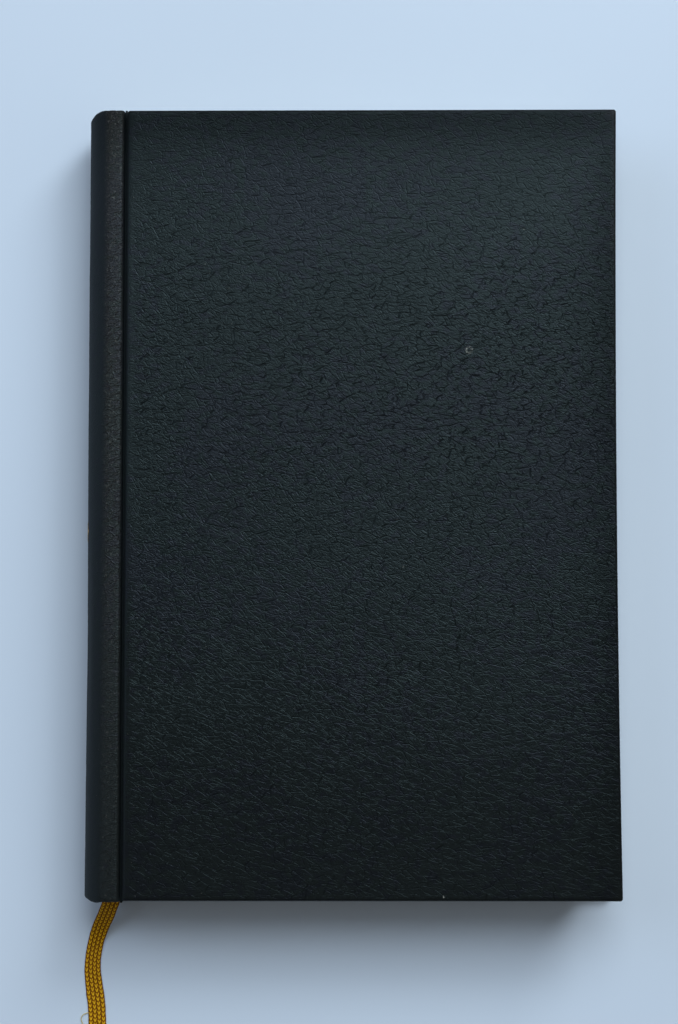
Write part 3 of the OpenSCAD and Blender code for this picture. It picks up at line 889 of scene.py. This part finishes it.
def make_pages():
    """The block of leaves: one closed loop of edge points for each line of every leaf."""
    rng = np.random.default_rng(11)
    total = LEAVES * POINTS_PER_LEAF + 1
    share = np.linspace(-1, 1, total)
    leaf = np.minimum((np.arange(total) // POINTS_PER_LEAF), LEAVES - 1)
    phase = (np.arange(total) % POINTS_PER_LEAF) / POINTS_PER_LEAF
    ridge = np.sin(np.pi * phase) ** 0.5
    short = rng.normal(0, 0.022, (LEAVES, 3))
    signature = np.where((leaf % 16 == 0) & (phase < 0.3), 1.0, 0.0)
    max_angle = math.degrees(math.asin(SHOULDER_H / BACK_R))
    points, relief = [], []
    along_leaf = np.concatenate([np.linspace(0, BEND_SHARE, 12), np.linspace(BEND_SHARE, 1, 14)[1:]])
    fore_rows = np.linspace(1, -1, 41)[1:-1]
    back_rows = np.linspace(-1, 1, 9)[1:-1]
    for k in range(total):
        q = share[k]
        h0 = q * HALF_PAGES
        angle = math.radians(q * max_angle)
        end_u, end_h = BACK_U - BACK_R * math.cos(angle), BACK_R * math.sin(angle)
        fore_u = BACK_U + (FORE_U - (BACK_U - math.sqrt(BACK_R ** 2 - HALF_PAGES ** 2))) - math.sqrt(
            BACK_R ** 2 - h0 ** 2)
        bend = 0.9 + 2.6 * (1 - abs(q)) ** 0.7
        knots = np.array([
            (end_u + bend, h0), (end_u + 0.9 * bend, h0 + 0.1 * (end_h - h0)),
            (end_u + 0.5 * bend, h0 + 0.9 * (end_h - h0)), (end_u, end_h),
        ])
        cut = 0.05 * (1 - ridge[k]) + 0.05 * signature[k]
        head_cut, tail_cut, fore_cut = cut + short[leaf[k]]
        # Painted shade: this value darkens the leaf edges in the gaps between leaves, and more at the first
        # leaf of each signature
        tone = ridge[k] * (1 - 0.6 * signature[k])

        def leaf_line(t):
            """Point on the leaf's edge, from the back at t = 0 to the fore-edge at t = 1."""
            if t >= BEND_SHARE:
                share_out = (t - BEND_SHARE) / (1 - BEND_SHARE)
                return knots[0, 0] + share_out * (fore_u - knots[0, 0]), h0
            w = 1 - t / BEND_SHARE
            weights = ((1 - w) ** 3, 3 * w * (1 - w) ** 2, 3 * w * w * (1 - w), w ** 3)
            return tuple(np.dot(weights, knots))

        head = [(*leaf_line(t), PAGE_H / 2 - head_cut) for t in along_leaf]
        tail = [(*leaf_line(t), -PAGE_H / 2 + tail_cut) for t in along_leaf[::-1]]
        head[-1] = (head[-1][0] - fore_cut, head[-1][1], head[-1][2])
        tail[0] = (tail[0][0] - fore_cut, tail[0][1], tail[0][2])
        fore = [(fore_u - fore_cut, h0, y * PAGE_H / 2) for y in fore_rows]
        back = [(end_u, end_h, y * PAGE_H / 2) for y in back_rows]
        for pu, ph, py in head + fore + tail + back:
            points.append((GROOVE_X + pu, py, HALF_BOOK + ph))
            relief.append(tone)
    ring = len(points) // total
    faces = grid_faces(total, ring, close_columns=True)
    # Outer faces of the block: strips from the head to the tail
    count = len(along_leaf)
    tail_start = count + len(fore_rows)
    for base, flip in ((0, False), ((total - 1) * ring, True)):
        strips = []
        for j in range(1, count - 2):
            k = tail_start + count - 1 - j
            strips.append((j, j + 1, k - 1, k))
        strips.append((count - 2, *range(count - 1, tail_start + 2)))
        strips.append((*range(tail_start + count - 2, ring), 0, 1))
        for strip in strips:
            face = tuple(base + v for v in strip)
            faces.append(face if flip else face[::-1])
    pages = make_piece("leaves", points, faces, "book_block", leaf_edges(), {"relief": relief})
    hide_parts("text_block")


make_pages()


# Endpapers
ENDPAPER = paper("endpaper", (238, 232, 216), (224, 216, 196), object_space=False)


def make_pastedown(name, node, mirror):
    """Sheet glued inside a cover: it shows the turn-ins and the gauze under it."""
    columns = np.concatenate([
        np.linspace(-BLEND_U, BLEND_U, 15), np.linspace(BLEND_U, 2.5, 8)[1:],
        np.linspace(2.5, 22.5, 16)[1:], np.linspace(22.5, 27, 16)[1:],
        np.linspace(27, 111, 56)[1:], np.linspace(111, 115, 14)[1:], np.linspace(115, FORE_U, 8)[1:],
    ])
    half = np.concatenate([
        np.linspace(0, 82, 42), np.linspace(82, 90, 28)[1:], np.linspace(90, PAGE_H / 2, 8)[1:],
    ])
    rows = np.concatenate([-half[:0:-1], half])
    gu, gy = np.meshgrid(columns, rows)
    flat = np.column_stack([gu.ravel(), gy.ravel(), np.full(gu.size, 7.0 * mirror)])
    opening = smooth(0.4, 1.4, gu) * smooth(OPENING_U + 0.2, OPENING_U - 0.9, gu)
    opening = opening * smooth(OPENING_H / 2 + 0.2, OPENING_H / 2 - 0.9, np.abs(gy))
    gauze = smooth(BOARD_U + MULL_W + 0.7, BOARD_U + MULL_W, gu) * smooth(0.4, 1.4, gu)
    gauze = gauze * smooth(MULL_H / 2 + 0.7, MULL_H / 2, np.abs(gy))
    rise = (0.4 * opening - 0.2 * gauze).ravel()
    ripple = 0.012 * noise_at(flat, 18.0, 2, 6.0) * smooth(1, 3, gu.ravel())
    weave = np.sin(gu.ravel() * 2 * math.pi / 1.7) * np.sin(gy.ravel() * 2 * math.pi / 2.1)
    weave = 0.012 * gauze.ravel() * weave
    points = []
    for level, sign in ((PASTE_IN, 1), (PASTE, 0)):
        hh = level + rise + sign * (ripple + weave)
        points.append(np.column_stack([GROOVE_X + gu.ravel(), gy.ravel(), HALF_BOOK + mirror * hh]))
    r, c = gu.shape
    size = gu.size
    faces = [f[::-1] for f in grid_faces(r, c)]
    faces += [tuple(v + size for v in f) for f in grid_faces(r, c)]
    faces += join_rims(rim_of(r, c), size)
    if mirror < 0:
        faces = [f[::-1] for f in faces]
    piece = make_piece(
        name, np.vstack(points), faces, material=ENDPAPER,
        attributes={"sheet": np.vstack([flat, flat])},
    )
    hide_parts(node)
    bend_at_groove(piece)


make_pastedown("front_pastedown_sheet", "front_pastedown", 1)
make_pastedown("back_pastedown_sheet", "back_pastedown", -1)


# Headbands
STITCH_PITCH = 0.42
BAND_TAPE = 12.0
BAND = stitched_band()


def make_headband(name, node, side):
    """Sewn bead on the edge of the pages with the tape that carries it."""
    arc_length = math.radians(2 * BAND_ANGLE) * BEAD_ARC_R
    stitches = int(arc_length / STITCH_PITCH)
    steps, sides = stitches * 7, 18
    points, relief = [], []
    for i in range(steps + 1):
        t = i / steps
        angle = math.radians(180 - BAND_ANGLE + 2 * BAND_ANGLE * t)
        out = np.array([math.cos(angle), math.sin(angle)])
        for k in range(sides):
            a = 2 * math.pi * k / sides
            twist = (t * stitches + 0.12 * math.sin(a)) % 1.0
            rib = math.sin(math.pi * twist) ** 0.6
            radius = BEAD_R * (0.86 + 0.14 * rib) * (0.6 if i in (0, steps) else 1.0)
            r = BEAD_ARC_R + radius * math.cos(a)
            y = side * (PAGE_H / 2 + BEAD_R + radius * math.sin(a))
            points.append((GROOVE_X + BACK_U + r * out[0], y, HALF_BOOK + r * out[1]))
            # The rib value also sets the painted shade between the thread's turns
            relief.append(rib)
    faces = tube_faces(steps + 1, sides)
    base = len(points)
    columns, rows = 40, 8
    for radius in (BACK_R + 0.2, BACK_R + 0.02):
        for i in range(rows):
            for j in range(columns):
                angle = math.radians(180 - BAND_ANGLE + 2 * BAND_ANGLE * j / (columns - 1))
                y = side * (PAGE_H / 2 + BEAD_R - i / (rows - 1) * (BAND_TAPE + BEAD_R))
                points.append((
                    GROOVE_X + BACK_U + radius * math.cos(angle), y, HALF_BOOK + radius * math.sin(angle),
                ))
                relief.append(0.75)
    size = rows * columns
    tape = grid_faces(rows, columns, first=base)
    faces += tape + [tuple(v + size for v in f[::-1]) for f in tape]
    faces += join_rims(rim_of(rows, columns), size, base)
    piece = make_piece(name, points, faces, "book_block", BAND, {"relief": relief})
    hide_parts(node)


make_headband("headband_sewn", "headband", 1)
make_headband("tailband_sewn", "tailband", -1)


# Finishes of the CAD nodes that stay
GAUZE = woven_gauze()
BOARD = grey_board()
FLYLEAF = paper("flyleaf", (240, 234, 219), (228, 220, 202))
KRAFT = paper("kraft_lining", (176, 138, 92), (150, 114, 72))
INNER_RIBBON = paper("ribbon_between_pages", (160, 112, 20), (110, 70, 6))
for node_name, material in {
    "front_flyleaf": FLYLEAF, "back_flyleaf": FLYLEAF,
    "mull": GAUZE, "front_mull_flap": GAUZE, "back_mull_flap": GAUZE,
    "spine_lining": KRAFT, "ribbon": INNER_RIBBON, "spine_inlay": BOARD,
    "front_board": BOARD, "back_board": BOARD, "spine_foil": gold_foil(),
}.items():
    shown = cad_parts[node_name]
    shown.data.materials.clear()
    shown.data.materials.append(material)


# Floor, backdrop and light
FLOOR_COLOUR = (190, 205, 221)
FLOOR_CLOUDS = (194, 209, 225)
FLOOR_HALF = 3000.0
# The floor fades into the backdrop between these distances, in metres
FADE_FROM = 0.22
FADE_TO = 0.65
BACKDROP_COLOUR = (205, 217, 230)
WORLD_COLOUR = (246, 242, 240)
WORLD_LIGHT = 0.19
# Place, size, power and colour of each round soft box
LAMPS = {
    "window": ((0.34, 0.88, 1.49), 1.3, 21.4, (243, 250, 255)),
    "low_window": ((0.75, 1.05, 0.95), 0.6, 9.5, (243, 250, 255)),
    "side_fill": ((-0.95, 0.45, 1.05), 1.0, 4.5, (214, 232, 255)),
}


def make_floor():
    """Pale table that keeps the shadow and fades into the backdrop far from the book."""
    n = Nodes("pale_table")
    cloudy = n.noise(n.object_place((0.004, 0.004, 0.004)), 2.0)
    tone = n.mix(n.ramp(cloudy, (0.35, 0.0), (0.65, 1.0)), FLOOR_COLOUR, FLOOR_CLOUDS)
    n.set(Base_Color=tone, Roughness=0.6, Specular_IOR_Level=0.2)
    place = n.add("TexCoord").outputs["Object"]
    reach = n.add("VectorMath", {"operation": "LENGTH"}, Vector=place).outputs["Value"]
    fade = n.add("MapRange", {"interpolation_type": "SMOOTHSTEP"}, Value=reach)
    fade.inputs["From Min"].default_value = FADE_FROM
    fade.inputs["From Max"].default_value = FADE_TO
    path = n.add("LightPath")
    seen = n.math("MAXIMUM", path.outputs["Is Camera Ray"], path.outputs["Is Glossy Ray"])
    glow = n.add("Emission", Strength=1.0)
    glow.inputs["Color"].default_value = rgba(BACKDROP_COLOUR)
    mixed = n.add("MixShader", Fac=n.math("MULTIPLY", fade.outputs["Result"], seen))
    n.put(mixed.inputs[1], n.shader.outputs["BSDF"])
    n.put(mixed.inputs[2], glow.outputs["Emission"])
    n.put(n.tree.nodes["Material Output"].inputs["Surface"], mixed.outputs[0])
    corners = FLOOR_HALF * np.array([(-1, -1, 0), (1, -1, 0), (1, 1, 0), (-1, 1, 0)])
    floor = make_piece("table_top", corners, [(0, 1, 2, 3)], material=n.material)


def make_world():
    """Pale backdrop for camera rays and rays seen through things, and a weaker even light on the object."""
    world = bpy.data.worlds.new("studio")
    bpy.context.scene.world = world
    world.use_nodes = True
    tree = world.node_tree
    tree.nodes.clear()
    path, mix, out, either = (
        tree.nodes.new("ShaderNode" + kind) for kind in ("LightPath", "MixShader", "OutputWorld", "Math")
    )
    for slot, colour, strength in ((1, WORLD_COLOUR, WORLD_LIGHT), (2, BACKDROP_COLOUR, 1.0)):
        glow = tree.nodes.new("ShaderNodeBackground")
        glow.inputs["Color"].default_value = rgba(colour)
        glow.inputs["Strength"].default_value = strength
        tree.links.new(glow.outputs[0], mix.inputs[slot])
    either.operation = "MAXIMUM"
    tree.links.new(path.outputs["Is Camera Ray"], either.inputs[0])
    tree.links.new(path.outputs["Is Transmission Ray"], either.inputs[1])
    tree.links.new(either.outputs[0], mix.inputs["Fac"])
    tree.links.new(mix.outputs[0], out.inputs["Surface"])


def make_lamp(name, at, size, power, colour):
    """Round soft box that points at the middle of the book."""
    data = bpy.data.lights.new(name, "AREA")
    data.shape = "DISK"
    data.size = size
    data.energy = power
    data.color = rgba(colour)[:3]
    lamp = bpy.data.objects.new(name, data)
    bpy.context.scene.collection.objects.link(lamp)
    lamp.location = at
    lamp.rotation_euler = Vector(at).to_track_quat("Z", "Y").to_euler()


make_floor()
make_world()
for lamp_name, (place, size, power, colour) in LAMPS.items():
    make_lamp(lamp_name, place, size, power, colour)

bpy.context.scene.view_settings.view_transform = "Standard"
